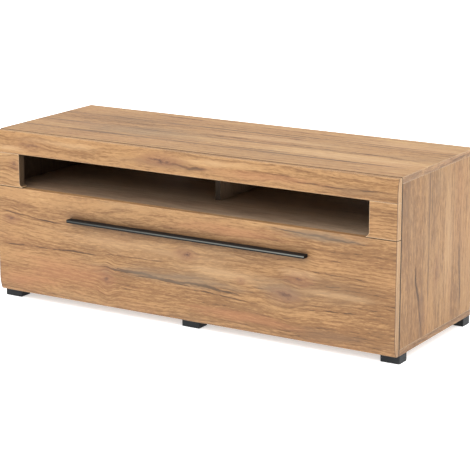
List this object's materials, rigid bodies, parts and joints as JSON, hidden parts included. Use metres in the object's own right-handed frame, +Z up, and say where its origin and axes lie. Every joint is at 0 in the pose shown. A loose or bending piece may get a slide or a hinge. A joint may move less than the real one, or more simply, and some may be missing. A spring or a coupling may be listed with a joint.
{
  "type": "tv stand",
  "caption": "Low tv stand in oak-finished board with an open niche under its top, a wide handled drawer below and low block feet.",
  "frame": {"origin": "on the floor, under the centre of the whole stand's outline seen from above, handle included", "axes": "+X along the width towards the right end as seen from the front, -Y out of the front, +Z up"},
  "size_m": [1.38, 0.529, 0.535],
  "materials": {
    "carcass_oak": "printed oak foil on board, satin, grain along the board",
    "front_oak": "knotty printed oak foil on board, satin, grain along the width",
    "drawer_board": "pale foil on board, satin",
    "hardboard": "thin fibreboard, matte",
    "black_metal": "black powder coat, satin",
    "foot_plastic": "moulded, matte",
    "runner_steel": "zinc-plated pressed sheet",
    "hardware_steel": "zinc-plated",
    "beech_dowel": "raw turned beech",
    "bumper_rubber": "soft, translucent"
  },
  "bodies": {
    "cabinet": {"top_board": "carcass_oak", "bottom_board": "carcass_oak", "side_panel_left": "carcass_oak", "side_panel_right": "carcass_oak", "niche_shelf": "carcass_oak", "niche_divider": "carcass_oak", "back_panel": "hardboard", "back_panel_nails": "hardware_steel", "front_fascia": "front_oak", "side_block_left": "front_oak", "side_block_right": "front_oak", "front_dowels": "beech_dowel", "front_brackets": "hardware_steel", "bracket_screws": "hardware_steel", "cam_discs": "hardware_steel", "cam_bolts": "hardware_steel", "carcass_dowels": "beech_dowel", "cabinet_rail_left": "runner_steel", "cabinet_rail_right": "runner_steel", "cabinet_rail_screws": "hardware_steel", "foot_front_left": "foot_plastic", "foot_front_middle": "foot_plastic", "foot_front_right": "foot_plastic", "foot_rear_left": "foot_plastic", "foot_rear_middle": "foot_plastic", "foot_rear_right": "foot_plastic", "foot_screws": "hardware_steel"},
    "drawer": {"drawer_front": "front_oak", "drawer_side_left": "drawer_board", "drawer_side_right": "drawer_board", "drawer_back": "drawer_board", "drawer_bottom": "hardboard", "drawer_bottom_brace": "drawer_board", "drawer_cam_discs": "hardware_steel", "drawer_cam_bolts": "hardware_steel", "drawer_dowels": "beech_dowel", "drawer_back_screws": "hardware_steel", "drawer_bottom_screws": "hardware_steel", "drawer_bumpers": "bumper_rubber", "drawer_rail_left": "runner_steel", "drawer_rail_right": "runner_steel", "drawer_rail_screws": "hardware_steel", "handle_bar": "black_metal", "handle_posts": "black_metal", "handle_screws": "hardware_steel"},
    "middle_left": {"middle_rail_left": "runner_steel"},
    "middle_right": {"middle_rail_right": "runner_steel"}
  },
  "joints": [
    {"name": "drawer_slide", "type": "slide", "parent": "cabinet", "child": "drawer", "axis": [0, -1, 0], "range_m": [0, 0.4]},
    {"name": "middle_rail_left_slide", "type": "slide", "parent": "cabinet", "child": "middle_left", "axis": [0, -1, 0], "range_m": [0, 0.2]},
    {"name": "middle_rail_right_slide", "type": "slide", "parent": "cabinet", "child": "middle_right", "axis": [0, -1, 0], "range_m": [0, 0.2]}
  ],
  "couplings": [
    {"joint": "middle_rail_left_slide", "follows": "drawer_slide", "ratio": 0.5},
    {"joint": "middle_rail_right_slide", "follows": "drawer_slide", "ratio": 0.5}
  ]
}
